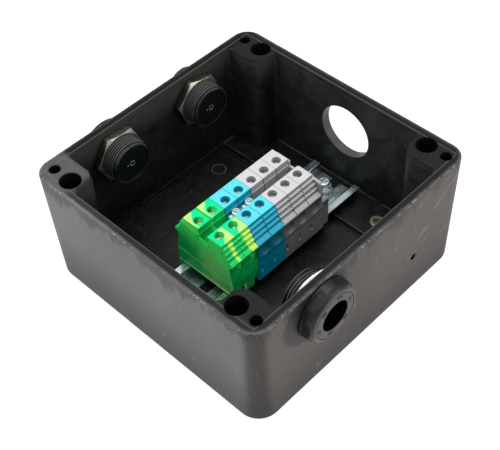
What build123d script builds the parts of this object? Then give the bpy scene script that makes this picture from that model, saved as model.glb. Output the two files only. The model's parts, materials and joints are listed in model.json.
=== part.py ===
from build123d import *
import os

os.makedirs("parts", exist_ok=True)

# Wall-mounted junction enclosure with a DIN rail, seven screw-clamp rail terminals,
# two stopping plugs, one threaded entry bushing and one open cable entry.
# Millimetres. Origin at the centre of the underside, +Z towards the open side.
# The rail runs along Y, the terminals lie across X. Left is -X, right is +X,
# front is -Y and rear is +Y.

# ---------------------------------------------------------------- enclosure dimensions
rim_w = 160.0               # outside width and depth at the rim
base_w = 159.0              # outside width and depth at the underside
box_h = 75.0
rim_corner_r = 10.0
base_corner_r = 12.5
base_edge_r = 2.2
rim_edge_r = 0.9
soft_edge_r = 0.5           # rounding of the cavity rim and the floor edges
inner_half = 74.2           # half width of the cavity below the rim step
rim_step = 0.6              # the wall is this much thinner above the step
rim_step_z = 71.4
boss_x = 51.6               # inner limits of the corner bosses
boss_y = 59.0
boss_r = 8.0
boss_root_r = 3.0
ledge_z = 6.5               # raised floor strips under the rail ends
ledge_y = 49.5
groove_z = 3.6
plateau_z = 6.0             # raised middle of the floor
plateau_x = 69.5
plateau_y = 44.0
plateau_corner_r = 3.0
floor_ring = (-60.2, 31.2)
floor_ring_r = 4.6
floor_ring_bore_r = 3.9

mount_hole = (59.6, 70.5)   # wall-fixing wells
mount_well_r = 5.84
mount_well_chamfer = 0.3
mount_hole_r = 3.25
mount_seat_z = 8.0
lid_hole = (72.2, 70.5)     # lid screw holes
lid_hole_r = 3.1
lid_hole_chamfer = 0.42
lid_hole_z = box_h - 26.0   # bottom of the holes
insert_bore_r = 2.1         # lid and earth inserts
rail_seat_z = 1.5           # bottom of the rail insert seats
rail_seat_r = 3.54
earth_pos = (38.4, 60.7)
earth_seat_z = 2.3
earth_seat_r = 3.84

# ---------------------------------------------------------------- cable entry dimensions
entry_thread_r = 12.5
thread_depth = 0.7
thread_pitch = 1.5
entry_hole_r = 12.75
plug_y = (-30.0, 30.0)
plug_z = 56.8
bushing_y = -34.2
bushing_z = 56.7
bushing_bore_r = 8.6
open_hole = (1.76, 45.5)    # x, z in the rear wall
open_hole_r = 17.0
side_hole = (39.0, 28.5)    # y, z in the right wall
side_hole_r = 2.2
wall_cut_from = 85.0        # wall holes are cut inwards from here
wall_cut = 15.0
spot_x = 79.70              # spot face on the outside of the wall
spot_r = 17.2
spot_cut = 3.0
seal_t = 0.56
seal_r = 16.2
seal_bore_r = 12.6
seal_gap = 0.02             # on each side of a seal
head_r = 17.0
head_under = spot_x + seal_t + 2 * seal_gap
bushing_end = 88.3
plug_end = 83.4             # the stopping plugs have thin heads
plug_nut_t = 4.9
bushing_nut_t = 3.0

# ---------------------------------------------------------------- rail dimensions, 35 x 7.5
rail_half = 17.5
rail_web = 13.5             # half width over the channel
rail_t = 1.0
rail_z = ledge_z
rail_top = rail_z + 7.5
rail_len = 140.0
slot_w = 6.3
slot_l = 18.0
slot_y = [-56.0 + 24.0 * i for i in range(6)]
fix_y = 58.4                # rail screws at +/- this

# ---------------------------------------------------------------- terminal dimensions
pitch = 9.9
width = 9.8
first_y = -37.5             # front limit of the first terminal's pitch
top_z = 52.0
row_in = 3.6                # screw rows, from the middle of the channel
row_out = 14.7
valley_z = 42.5
channel_x = 0.6             # the channel and the screws sit this far off the rail's middle
screw_x = 7.8               # from the middle of the channel
screw_hole_r = 2.65
screw_head_r = 2.45
screw_head_top = 49.0
screw_head_bot = 46.8
shank_r = 2.0
neck_r = 2.08
neck_bot = 45.6
bar_top = 39.0              # current bar
bar_t = 1.5
bar_half = 12.4
bar_w = 5.0
cage_w = 6.6                # along X
cage_d = 7.6                # along Y
cage_bot = 31.0
cage_top = 41.4
wire_z = 34.9
wire_r = 2.9
end_gap = 0.1               # before the end plate and before the end bracket
end_plate_t = 1.5
end_bracket_t = 4.8

# terminals from front to rear: slot angles of the left and the right clamp screw
screw_turns = {
    "pe_1": (20, 62), "pe_2": (48, 15),
    "blue_1": (100, 70), "blue_2": (35, 125),
    "grey_1": (80, 30), "grey_2": (150, 55), "grey_3": (10, 95),
}
terminal_y = [first_y + pitch / 2 + pitch * i for i in range(len(screw_turns))]
pe_y = terminal_y[:2]
blue_y = terminal_y[2:4]


# ---------------------------------------------------------------- helpers
def finish(builder, name):
    """Label a finished piece and write its STEP file."""
    builder.part.label = name
    export_step(builder.part, "parts/" + name + ".step")


def xz_plane(y):
    """Sketch plane across the box at this y, normal towards -Y."""
    return Plane.XZ.offset(-y)


def x_plane(x, y, z, out):
    """Sketch plane parallel to a side wall, normal along +X or -X."""
    return Plane(origin=(x, y, z), x_dir=(0, 1, 0), z_dir=(out, 0, 0))


def axial_plane(y, z):
    """Sketch plane for (x, radius) profiles turned about the X line through (y, z)."""
    return Plane(origin=(0, y, z), x_dir=(1, 0, 0), z_dir=(0, 0, 1))


def near(value, size):
    """True where the value, whatever its sign, matches the size."""
    return abs(abs(value) - size) < 0.01


def four(place):
    """The place and its mirror images in all four quarters."""
    return [(side_x * place[0], side_y * place[1]) for side_x in (-1, 1) for side_y in (-1, 1)]


def level_edges(builder, z, x_limit, y_limit):
    """Edges at this height whose centres lie inside the limits."""
    return [edge for edge in builder.edges()
            if near(edge.center().Z, z)
            and abs(edge.center().X) < x_limit and abs(edge.center().Y) < y_limit]


def rim_circles(builder, radius, x):
    """Hole edges in the rim with this radius, centred at +/- x."""
    return [edge for edge in builder.edges().filter_by(GeomType.CIRCLE)
            if near(edge.center().Z, box_h) and near(edge.radius, radius)
            and near(edge.arc_center.X, x)]


def mirrored(right, shift=0.0):
    """Closed outline from its right half, listed from the top centre to the bottom centre.
    The points of the channel, above z 40 and within 6 mm of the middle, move by the shift."""
    left = [(-x, z) for x, z in reversed(right) if abs(x) > 1e-9]
    return [(x + shift if abs(x) < 6 and z > 40 else x, z) for x, z in right + left]


# ---------------------------------------------------------------- enclosure
mount_places = four(mount_hole)
lid_places = four(lid_hole)
rail_fixings = ((0, -fix_y), (0, fix_y))


def cavity_outline(grow):
    """Cavity seen from above: a square with the four corner bosses taken out."""
    half = inner_half + grow
    tip_x = boss_x + grow
    tip_y = boss_y + grow
    overlap = 5
    with BuildSketch(mode=Mode.PRIVATE) as outline:
        Rectangle(2 * half, 2 * half)
        for centre in four(((tip_x + half + overlap) / 2, (tip_y + half + overlap) / 2)):
            with Locations(centre):
                Rectangle(half + overlap - tip_x, half + overlap - tip_y, mode=Mode.SUBTRACT)
        tips = [corner for corner in outline.vertices()
                if near(corner.X, tip_x) and near(corner.Y, tip_y)]
        fillet(tips, boss_r - grow)
        roots = [corner for corner in outline.vertices()
                 if near(corner.X, half) and near(corner.Y, tip_y)
                 or near(corner.Y, half) and near(corner.X, tip_x)]
        fillet(roots, boss_root_r)
    return outline.sketch


with BuildPart() as enclosure_base:
    with BuildSketch(Plane.XY):
        RectangleRounded(base_w, base_w, base_corner_r)
    with BuildSketch(Plane.XY.offset(box_h)):
        RectangleRounded(rim_w, rim_w, rim_corner_r)
    loft(ruled=True)
    fillet(enclosure_base.faces().sort_by(Axis.Z)[0].edges(), base_edge_r)
    fillet(enclosure_base.faces().sort_by(Axis.Z)[-1].edges(), rim_edge_r)
    # cavity, slightly wider above the rim step
    for floor, grow in ((ledge_z, 0), (rim_step_z, rim_step)):
        with BuildSketch(Plane.XY.offset(floor)):
            add(cavity_outline(grow))
        extrude(amount=box_h - floor, mode=Mode.SUBTRACT)
    cavity_limit = inner_half + rim_step + 0.1
    fillet(level_edges(enclosure_base, box_h, cavity_limit, cavity_limit), soft_edge_r)
    # groove round the raised middle of the floor
    with BuildSketch(Plane.XY.offset(groove_z)):
        Rectangle(2 * inner_half, 2 * ledge_y)
    extrude(amount=ledge_z - groove_z, mode=Mode.SUBTRACT)
    with BuildSketch(Plane.XY.offset(groove_z)):
        RectangleRounded(2 * plateau_x, 2 * plateau_y, plateau_corner_r)
    extrude(amount=plateau_z - groove_z)
    fillet(
        level_edges(enclosure_base, plateau_z, plateau_x + 0.1, plateau_y + 0.1),
        soft_edge_r,
    )
    fillet(
        [edge for edge in enclosure_base.edges().filter_by(Axis.X)
         if near(edge.center().Z, ledge_z) and abs(abs(edge.center().Y) - ledge_y) < 0.1],
        soft_edge_r,
    )
    # ejector ring on the raised floor
    with BuildSketch(Plane.XY.offset(plateau_z - 0.01)):
        with Locations(floor_ring):
            Circle(floor_ring_r)
            Circle(floor_ring_bore_r, mode=Mode.SUBTRACT)
    extrude(amount=0.36)
    # wall-fixing wells with a clearance hole below
    with BuildSketch(Plane.XY.offset(mount_seat_z)):
        with Locations(*mount_places):
            Circle(mount_well_r)
    extrude(amount=box_h - mount_seat_z, mode=Mode.SUBTRACT)
    with BuildSketch(Plane.XY):
        with Locations(*mount_places):
            Circle(mount_hole_r)
    extrude(amount=mount_seat_z, mode=Mode.SUBTRACT)
    # lid screw holes
    with BuildSketch(Plane.XY.offset(lid_hole_z)):
        with Locations(*lid_places):
            Circle(lid_hole_r)
    extrude(amount=box_h - lid_hole_z, mode=Mode.SUBTRACT)
    chamfer(rim_circles(enclosure_base, lid_hole_r, lid_hole[0]), lid_hole_chamfer)
    chamfer(rim_circles(enclosure_base, mount_well_r, mount_hole[0]), mount_well_chamfer)
    # seats for the rail screw inserts and the earth insert
    with BuildSketch(Plane.XY.offset(rail_seat_z)):
        with Locations(*rail_fixings):
            Circle(rail_seat_r)
    extrude(amount=ledge_z - rail_seat_z, mode=Mode.SUBTRACT)
    with BuildSketch(Plane.XY.offset(earth_seat_z)):
        with Locations(earth_pos):
            Circle(earth_seat_r)
    extrude(amount=ledge_z - earth_seat_z, mode=Mode.SUBTRACT)
    # spot faces and entry holes: wall side, y, z
    for side, y, z in ((-1, plug_y[0], plug_z), (-1, plug_y[1], plug_z),
                       (1, bushing_y, bushing_z)):
        with BuildSketch(x_plane(side * spot_x, y, z, side)):
            Circle(spot_r)
        extrude(amount=spot_cut, mode=Mode.SUBTRACT)
        with BuildSketch(x_plane(side * wall_cut_from, y, z, -side)):
            Circle(entry_hole_r)
        extrude(amount=wall_cut, mode=Mode.SUBTRACT)
    # small hole in the right wall, open cable entry in the rear wall
    with BuildSketch(x_plane(wall_cut_from, *side_hole, -1)):
        Circle(side_hole_r)
    extrude(amount=wall_cut, mode=Mode.SUBTRACT)
    with BuildSketch(xz_plane(wall_cut_from)):
        with Locations(open_hole):
            Circle(open_hole_r)
    extrude(amount=wall_cut, mode=Mode.SUBTRACT)
finish(enclosure_base, "enclosure_base")

with BuildPart() as lid_screw_inserts:
    with BuildSketch(Plane.XY.offset(lid_hole_z + 0.5)):
        with Locations(*lid_places):
            Circle(lid_hole_r - 0.04)
            Circle(insert_bore_r, mode=Mode.SUBTRACT)
    extrude(amount=12)
finish(lid_screw_inserts, "lid_screw_inserts")

with BuildPart() as rail_screw_inserts:
    with BuildSketch(Plane.XY.offset(rail_seat_z + 0.02)):
        with Locations(*rail_fixings):
            Circle(rail_seat_r - 0.04)
            Circle(2.55, mode=Mode.SUBTRACT)
    extrude(amount=4.9)
finish(rail_screw_inserts, "rail_screw_inserts")

earth_bot = earth_seat_z + 0.1
earth_flange_z = ledge_z + 0.02
with BuildPart() as earth_insert:
    with BuildSketch(Plane.XY.offset(earth_bot)):
        with Locations(earth_pos):
            Circle(earth_seat_r - 0.04)
    extrude(amount=earth_flange_z - earth_bot)
    with BuildSketch(Plane.XY.offset(earth_flange_z)):
        with Locations(earth_pos):
            Circle(4.4)
    extrude(amount=1.9)
    chamfer(earth_insert.faces().sort_by(Axis.Z)[-1].edges(), 0.5)
    with BuildSketch(Plane.XY.offset(3.6)):
        with Locations(earth_pos):
            Circle(insert_bore_r)
    extrude(amount=6, mode=Mode.SUBTRACT)
finish(earth_insert, "earth_insert")

# ---------------------------------------------------------------- rail and its screws
channel_half = rail_web - rail_t    # inside the channel
channel_floor = rail_z + rail_t
flange_under = rail_top - rail_t
with BuildPart() as din_rail:
    with BuildSketch(Plane.XZ) as rail_section:
        with BuildLine():
            Polyline(
                (-rail_half, flange_under), (-rail_half, rail_top),
                (-channel_half, rail_top), (-channel_half, channel_floor),
                (channel_half, channel_floor), (channel_half, rail_top),
                (rail_half, rail_top), (rail_half, flange_under),
                (rail_web, flange_under), (rail_web, rail_z),
                (-rail_web, rail_z), (-rail_web, flange_under), close=True)
        make_face()
        # bends: x, z, radius
        for x, z, bend_r in ((channel_half, rail_top, 1.2), (rail_web, rail_z, 1.2),
                             (channel_half, channel_floor, 0.3),
                             (rail_web, flange_under, 0.3)):
            fillet([corner for corner in rail_section.vertices()
                    if near(corner.X, x) and near(corner.Y, z)], bend_r)
    extrude(amount=rail_len / 2, both=True)
    with BuildSketch(Plane.XY.offset(rail_z - 1)):
        with Locations(*[(0, y) for y in slot_y]):
            RectangleRounded(slot_w, slot_l, 1.0)
    extrude(amount=rail_t + 1.5, mode=Mode.SUBTRACT)
finish(din_rail, "din_rail")

# stack on each rail screw, from the channel floor up
flat_washer_t = 1.0
flat_washer_r = 5.75
spacer_nut_t = 4.0
spring_washer_t = 1.2
washer_bore_r = 2.6
washer_bot = channel_floor
nut_bot = washer_bot + flat_washer_t
spring_bot = nut_bot + spacer_nut_t
screw_seat = spring_bot + spring_washer_t

with BuildPart() as rail_flat_washers:
    with BuildSketch(Plane.XY.offset(washer_bot)):
        with Locations(*rail_fixings):
            Circle(flat_washer_r)
            Circle(washer_bore_r, mode=Mode.SUBTRACT)
    extrude(amount=flat_washer_t)
    fillet([edge for edge in rail_flat_washers.edges().filter_by(GeomType.CIRCLE)
            if near(edge.radius, flat_washer_r) and edge.center().Z > washer_bot + 0.5], 0.2)
finish(rail_flat_washers, "rail_flat_washers")

with BuildPart() as rail_spacer_nuts:
    with BuildSketch(Plane.XY.offset(nut_bot)):
        with Locations(*rail_fixings):
            RegularPolygon(radius=4.0, side_count=6, major_radius=False, rotation=12)
            Circle(2.56, mode=Mode.SUBTRACT)
    extrude(amount=spacer_nut_t)
    # turned chamfers on the corners, below and above
    for y in (-fix_y, fix_y):
        for z, inward in ((nut_bot, 1), (spring_bot, -1)):
            with BuildSketch(xz_plane(y)):
                with BuildLine():
                    Polyline((3.9, z), (4.9, z), (4.9, z + inward * 0.577), close=True)
                make_face()
            revolve(axis=Axis((0, y, 0), (0, 0, 1)), mode=Mode.SUBTRACT)
finish(rail_spacer_nuts, "rail_spacer_nuts")

with BuildPart() as rail_spring_washers:
    with BuildSketch(Plane.XY.offset(spring_bot)):
        with Locations(*rail_fixings):
            Circle(4.3)
            Circle(washer_bore_r, mode=Mode.SUBTRACT)
        with Locations((3.5, -fix_y), (3.5, fix_y)):
            Rectangle(2.4, 0.6, rotation=35, mode=Mode.SUBTRACT)
    extrude(amount=spring_washer_t)
finish(rail_spring_washers, "rail_spring_washers")

rail_screw_bot = 1.7
with BuildPart() as rail_screws:
    with BuildSketch(Plane.XY.offset(screw_seat)):
        with Locations(*rail_fixings):
            Circle(3.8)
    extrude(amount=2.9)
    fillet([edge for edge in rail_screws.edges().filter_by(GeomType.CIRCLE)
            if edge.center().Z > screw_seat + 2], 1.3)
    with BuildSketch(Plane.XY.offset(rail_screw_bot)):
        with Locations(*rail_fixings):
            Circle(2.5)
    extrude(amount=screw_seat - rail_screw_bot)
    # cross recess
    with BuildSketch(Plane.XY.offset(screw_seat + 2.95)):
        with Locations(*rail_fixings):
            Rectangle(4.6, 1.15, rotation=28)
            Rectangle(4.6, 1.15, rotation=118)
    extrude(amount=-1.7, taper=12, mode=Mode.SUBTRACT)
finish(rail_screws, "rail_screws")

# ---------------------------------------------------------------- terminal outlines
# All are (x, z) points. The next four are pieces of a right half, top to bottom.
row_step_x = row_in - 0.55
housing_bot = rail_top + 0.06
hook_bot = 11.6                     # hooks under the rail flanges
shoulder = [
    (0, valley_z), (row_step_x, valley_z), (row_step_x, 47.9), (row_in, 48.2), (row_in, top_z),
    (row_out, top_z), (14.9, 50.9), (14.6, 49.9),
    (16.15, 49.6), (16.2, 49.2), (15.5, 47.35),
    (17.45, 46.85), (17.5, 46.45), (16.8, 44.6),
    (18.75, 44.1), (18.8, 43.7), (18.1, 42.0),
    (20.1, 41.5), (21.5, 40.65), (21.6, 39.6),
]
foot = [
    (21.8, 13.6), (21.2, 12.4), (20.3, hook_bot), (16.4, hook_bot), (16.4, 12.85),
    (17.6, 12.85), (17.6, housing_bot), (0, housing_bot),
]
plain_sides = [(19.5, 38.9), (19.7, 36.2), (21.8, 30.2)]
pe_sides = [
    (19.5, 38.8), (19.2, 35.0), (20.3, 30.0), (21.0, 24.6), (21.1, 20.4), (20.2, 17.6),
    (18.7, 16.3), (17.0, 16.2), (0, 16.2),
]
# whole outlines on the front wall of the protective-earth housings
head_step = [(-15.6, 50.2), (-2.4, 48.0), (-2.4, 56.0), (-15.6, 56.0)]
front_web = [(-3.2, valley_z - 0.2), (-3.2, 46.7), (4.4, 44.7), (4.4, valley_z - 0.2)]
front_panel = [
    (-19.2, 25.4), (-18.0, 33.6), (-18.7, 39.0), (-14.6, 45.6), (-4.0, 43.4), (2.0, 40.6),
    (14.6, 46.2), (18.6, 39.0), (18.0, 33.6), (19.2, 25.4),
]
front_lip = [
    (-18.7, 16.5), (-17.4, 15.3), (17.4, 15.3), (18.7, 16.5), (18.7, 17.0), (-18.7, 17.0),
]
# right leg of those housings; the left one is its mirror image
pe_leg = [(19.0, 19.0), (19.0, hook_bot), (20.2, hook_bot), (20.9, 12.4), (21.1, 20.0)]
# right half of the metal foot
pe_foot = [
    (0, 16.12), (17.6, 16.12), (18.9, 15.2), (18.9, 11.9), (16.4, 11.9), (16.4, 12.9),
    (17.6, 12.9), (17.6, rail_top + 0.05), (0, rail_top + 0.05),
]
# right half of the end plate above its foot
end_plate_top = 50.2
end_plate_upper = [
    (0, 46.6), (row_in - 0.3, 46.6), (row_in - 0.3, end_plate_top), (13.6, end_plate_top),
    (14.2, 49.3), (19.3, 48.2), (20.3, 46.9), (20.6, 44.4), (21.5, 41.2), (21.6, 39.4),
    (20.2, 38.2), (20.4, 33.5), (21.8, 30.2),
]
end_plate_bevel = [
    (-26, 52), (-26, 43.0), (-20.9, 43.0), (-18.6, 46.2), (-13.6, 48.0), (-12.2, 52),
]
# right half of the end bracket
end_bracket_half = [
    (0, 33.4), (6.4, 33.4), (7.4, 39.4), (14.6, 39.4), (16.6, 37.4), (17.0, 34.4),
    (18.2, 33.4), (20.4, 33.0), (20.9, 32.4), (20.9, 14.0), (20.2, 12.4),
    (19.2, hook_bot), (16.4, hook_bot), (16.4, 12.85), (17.6, 12.85),
    (17.6, housing_bot), (0, housing_bot),
]


# ---------------------------------------------------------------- terminals
def terminal_housing(name, y):
    is_pe = name.startswith("pe")
    front = y - width / 2
    screws = ((channel_x - screw_x, y), (channel_x + screw_x, y))
    with BuildPart() as housing:
        with BuildSketch(xz_plane(y + width / 2)):
            with BuildLine():
                Polyline(*mirrored(shoulder + (pe_sides if is_pe else plain_sides + foot),
                                   channel_x), close=True)
            make_face()
        extrude(amount=width)
        fillet([edge for edge in housing.edges() if near(edge.center().Z, top_z)], 0.22)
        # the ribs and the inner row faces stop short of the neighbour in front
        with BuildSketch(xz_plane(front + 0.35)):
            with Locations((-18.6, 45.65), (18.6, 45.65)):
                Rectangle(7.6, 10.6)
        extrude(amount=1, mode=Mode.SUBTRACT)
        with BuildSketch(xz_plane(front + 0.4)):
            for side in (-1, 1):
                with Locations((channel_x + side * (row_in + 0.1), 47.4)):
                    Rectangle(1.4, 8.4)
        extrude(amount=1, mode=Mode.SUBTRACT)
        # cross-connection channel and its hole down to the bar and below
        with BuildSketch(Plane.XY.offset(41.0)):
            with Locations((channel_x, y)):
                Rectangle(5.8, width)
        extrude(amount=2, mode=Mode.SUBTRACT)
        for hole_bot, hole_r in ((bar_top - 0.5, 2.4), (35.5, 1.9)):
            with BuildSketch(Plane.XY.offset(hole_bot)):
                with Locations((channel_x, y)):
                    Circle(hole_r)
            extrude(amount=3, mode=Mode.SUBTRACT)
        # slot for the current bar
        with BuildSketch(Plane.XY.offset(bar_top - bar_t - 0.1)):
            with Locations((channel_x, y)):
                Rectangle(2 * bar_half + 0.3, bar_w + 0.2)
        extrude(amount=bar_t + 0.2, mode=Mode.SUBTRACT)
        # screw shafts, necks and cage pockets
        with BuildSketch(Plane.XY.offset(screw_head_bot - 0.1)):
            with Locations(*screws):
                Circle(screw_hole_r)
        extrude(amount=top_z - screw_head_bot + 0.1, mode=Mode.SUBTRACT)
        with BuildSketch(Plane.XY.offset(neck_bot - 0.1)):
            with Locations(*screws):
                Circle(neck_r)
        extrude(amount=screw_head_bot - neck_bot, mode=Mode.SUBTRACT)
        with BuildSketch(Plane.XY.offset(cage_bot - 0.2)):
            with Locations(*screws):
                Rectangle(cage_w + 0.3, cage_d + 0.3)
        extrude(amount=neck_bot - cage_bot + 0.2, mode=Mode.SUBTRACT)
        # wire entries with a funnel
        for side in (-1, 1):
            with BuildSketch(x_plane(side * 11.0, y, wire_z, side)):
                Circle(wire_r)
            extrude(amount=13, mode=Mode.SUBTRACT)
            with BuildSketch(x_plane(side * 17.2, y, wire_z, side)):
                Circle(wire_r)
            with BuildSketch(x_plane(side * 22.6, y, wire_z - 0.5, side)):
                Circle(4.4)
            loft(mode=Mode.SUBTRACT)
        if is_pe:
            # room for the metal foot that ties the bar to the rail
            with BuildSketch(Plane.XY.offset(16.0)):
                with Locations((channel_x, y)):
                    Rectangle(6.2, bar_w + 0.2)
            extrude(amount=22, mode=Mode.SUBTRACT)
            # front wall: set-back head, web across the channel, shallow panel, lower lip
            # outline, depth of its plane behind the front, length towards the front, mode
            for outline, depth, length, mode in (
                    (head_step, 0.7, 1, Mode.SUBTRACT), (front_web, 0.8, 0.8, Mode.ADD),
                    (front_panel, 0.3, 1, Mode.SUBTRACT), (front_lip, 1.2, 1.2, Mode.ADD)):
                with BuildSketch(xz_plane(front + depth)):
                    with BuildLine():
                        Polyline(*outline, close=True)
                    make_face()
                extrude(amount=length, mode=mode)
            # legs outside the rail flanges
            for side in (-1, 1):
                with BuildSketch(xz_plane(y + 1.0)):
                    with BuildLine():
                        Polyline(*[(side * x, z) for x, z in pe_leg], close=True)
                    make_face()
                extrude(amount=width / 2 + 1.0)
        else:
            # upright slot and a dimple low on both sides
            for side in (-1, 1):
                with BuildSketch(x_plane(side * 18.6, y - 3.3, 22.4, side)):
                    SlotOverall(4.6, 1.15, rotation=90)
                extrude(amount=5, mode=Mode.SUBTRACT)
                with BuildSketch(x_plane(side * 21.7, y - 3.3, 19.3, side)):
                    Circle(0.55)
                extrude(amount=0.55)
    finish(housing, "terminal_" + name)


def clamp_screw(name, x, y, turn):
    shank_bot = bar_top + 0.05
    with BuildPart() as screw:
        with BuildSketch(Plane.XY.offset(screw_head_bot)):
            with Locations((x, y)):
                Circle(screw_head_r)
        extrude(amount=screw_head_top - screw_head_bot)
        fillet(screw.faces().sort_by(Axis.Z)[-1].edges(), 0.35)
        with BuildSketch(Plane.XY.offset(shank_bot)):
            with Locations((x, y)):
                Circle(shank_r)
        extrude(amount=screw_head_bot - shank_bot)
        # driver slot
        with BuildSketch(Plane.XY.offset(screw_head_top + 0.2)):
            with Locations((x, y)):
                Rectangle(5.4, 0.8, rotation=turn)
        extrude(amount=-1.3, mode=Mode.SUBTRACT)
    finish(screw, "clamp_screw_" + name)


def clamp_cage(name, x, y):
    window_bot = 32.3
    window_top = 39.2
    with BuildPart() as cage:
        with BuildSketch(Plane.XY.offset(cage_bot)):
            with Locations((x, y)):
                RectangleRounded(cage_w, cage_d, 0.5)
        extrude(amount=cage_top - cage_bot)
        with BuildSketch(x_plane(x - cage_w / 2 - 1, y, (window_bot + window_top) / 2, 1)):
            RectangleRounded(5.4, window_top - window_bot, 0.4)
        extrude(amount=cage_w + 2, mode=Mode.SUBTRACT)
        with BuildSketch(Plane.XY.offset(39.0)):
            with Locations((x, y)):
                Circle(shank_r + 0.03)
        extrude(amount=4, mode=Mode.SUBTRACT)
    finish(cage, "clamp_cage_" + name)


for (terminal, turns), y in zip(screw_turns.items(), terminal_y):
    terminal_housing(terminal, y)
    for side_name, side, turn in zip(("left", "right"), (-1, 1), turns):
        x = channel_x + side * screw_x
        clamp_screw(terminal + "_" + side_name, x, y, turn)
        clamp_cage(terminal + "_" + side_name, x, y)

with BuildPart() as current_bars:
    bar_places = [(channel_x, y) for y in terminal_y[2:]]
    with BuildSketch(Plane.XY.offset(bar_top - bar_t)):
        with Locations(*bar_places):
            Rectangle(2 * bar_half, bar_w)
        with Locations(*bar_places):
            Circle(1.55, mode=Mode.SUBTRACT)
    extrude(amount=bar_t)
finish(current_bars, "current_bars")

# the protective-earth terminals tie their bar to the rail through a metal foot
stem_bot = 16.1
with BuildPart() as pe_foot_bars:
    for y in pe_y:
        with BuildSketch(Plane.XY.offset(bar_top - bar_t)):
            with Locations((channel_x, y)):
                Rectangle(2 * bar_half, bar_w)
        extrude(amount=bar_t)
        with BuildSketch(Plane.XY.offset(stem_bot)):
            with Locations((channel_x, y)):
                Rectangle(6.0, bar_w)
        extrude(amount=bar_top - bar_t - stem_bot + 0.1)
        with BuildSketch(xz_plane(y + 3.5)):
            with BuildLine():
                Polyline(*mirrored(pe_foot), close=True)
            make_face()
        extrude(amount=7.0)
finish(pe_foot_bars, "pe_foot_bars")

# rear faces of the end plate and the end bracket
end_plate_rear = terminal_y[-1] + width / 2 + end_gap + end_plate_t
end_bracket_rear = end_plate_rear + end_gap + end_bracket_t

with BuildPart() as end_plate:
    with BuildSketch(xz_plane(end_plate_rear)):
        with BuildLine():
            Polyline(*mirrored(end_plate_upper + foot, channel_x), close=True)
        make_face()
    extrude(amount=end_plate_t)
    # the upper left corner is bevelled
    with BuildSketch(xz_plane(end_plate_rear + 2.0)):
        with BuildLine():
            Polyline(*end_plate_bevel, close=True)
        make_face()
    extrude(amount=5, mode=Mode.SUBTRACT)
    fillet([edge for edge in end_plate.edges() if near(edge.center().Z, end_plate_top)], 0.2)
finish(end_plate, "end_plate")

with BuildPart() as end_bracket:
    with BuildSketch(xz_plane(end_bracket_rear)):
        with BuildLine():
            Polyline(*mirrored(end_bracket_half), close=True)
        make_face()
    extrude(amount=end_bracket_t)
    # two recesses in the rear face
    with BuildSketch(xz_plane(end_bracket_rear)):
        with Locations((-11.5, 24.0), (11.5, 24.0)):
            RectangleRounded(9.0, 12.0, 1.2)
    extrude(amount=1.6, mode=Mode.SUBTRACT)
    fillet(
        [edge for edge in end_bracket.edges().filter_by(Axis.Y)
         if edge.center().Z > 20 and abs(edge.center().X) > 14],
        0.3,
    )
finish(end_bracket, "end_bracket")

# two-pole cross connector over the blue pair
link_bot = 43.0
link_top = 45.4
link_places = [(channel_x, y) for y in blue_y]
with BuildPart() as cross_connector:
    with BuildSketch(Plane.XY.offset(link_bot)):
        with Locations((channel_x, sum(blue_y) / 2 - 0.7)):
            RectangleRounded(5.0, pitch + 8.0, 1.0)
    extrude(amount=link_top - link_bot)
    # a stud in front of each screw
    for y in blue_y:
        with BuildSketch(Plane.XY.offset(link_top)):
            with Locations((channel_x, y - 3.7)):
                RectangleRounded(2.8, 2.3, 0.5)
        extrude(amount=2.2)
    chamfer(cross_connector.faces().sort_by(Axis.Z)[-2:].edges(), 0.3)
    # sleeves down to the bars
    with BuildSketch(Plane.XY.offset(bar_top + 0.02)):
        with Locations(*link_places):
            Circle(2.2)
    extrude(amount=4.0)
    with BuildSketch(Plane.XY.offset(bar_top)):
        with Locations(*link_places):
            Circle(1.56)
    extrude(amount=7, mode=Mode.SUBTRACT)
finish(cross_connector, "cross_connector")

with BuildPart() as cross_connector_screws:
    with BuildSketch(Plane.XY.offset(link_top + 0.02)):
        with Locations(*link_places):
            Circle(2.45)
    extrude(amount=3.5)
    fillet([edge for edge in cross_connector_screws.edges().filter_by(GeomType.CIRCLE)
            if edge.center().Z > 48], 0.4)
    with BuildSketch(Plane.XY.offset(48.3)):
        with Locations(*link_places):
            Circle(1.65)
    extrude(amount=2, mode=Mode.SUBTRACT)
    with BuildSketch(Plane.XY.offset(36.0)):
        with Locations(*link_places):
            Circle(1.5)
    extrude(amount=9.6)
    # driver slots
    with BuildSketch(Plane.XY.offset(48.4)):
        with Locations(link_places[0]):
            Rectangle(3.1, 0.8, rotation=25)
        with Locations(link_places[1]):
            Rectangle(3.1, 0.8, rotation=70)
    extrude(amount=-1.5, mode=Mode.SUBTRACT)
finish(cross_connector_screws, "cross_connector_screws")


# ---------------------------------------------------------------- plugs and bushing
def thread_profile(start_x, end_x):
    """Outline of the thread flanks from start to end, as (x, radius) points."""
    step = 1 if end_x > start_x else -1
    root_r = entry_thread_r - thread_depth
    points = [(start_x, root_r)]
    for i in range(int(abs(end_x - start_x) / thread_pitch)):
        x = start_x + step * thread_pitch * i
        points += [(x + step * 0.35, root_r), (x + step * 0.75, entry_thread_r),
                   (x + step * 1.15, entry_thread_r), (x + step * thread_pitch, root_r)]
    return points + [(end_x, root_r)]


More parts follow.
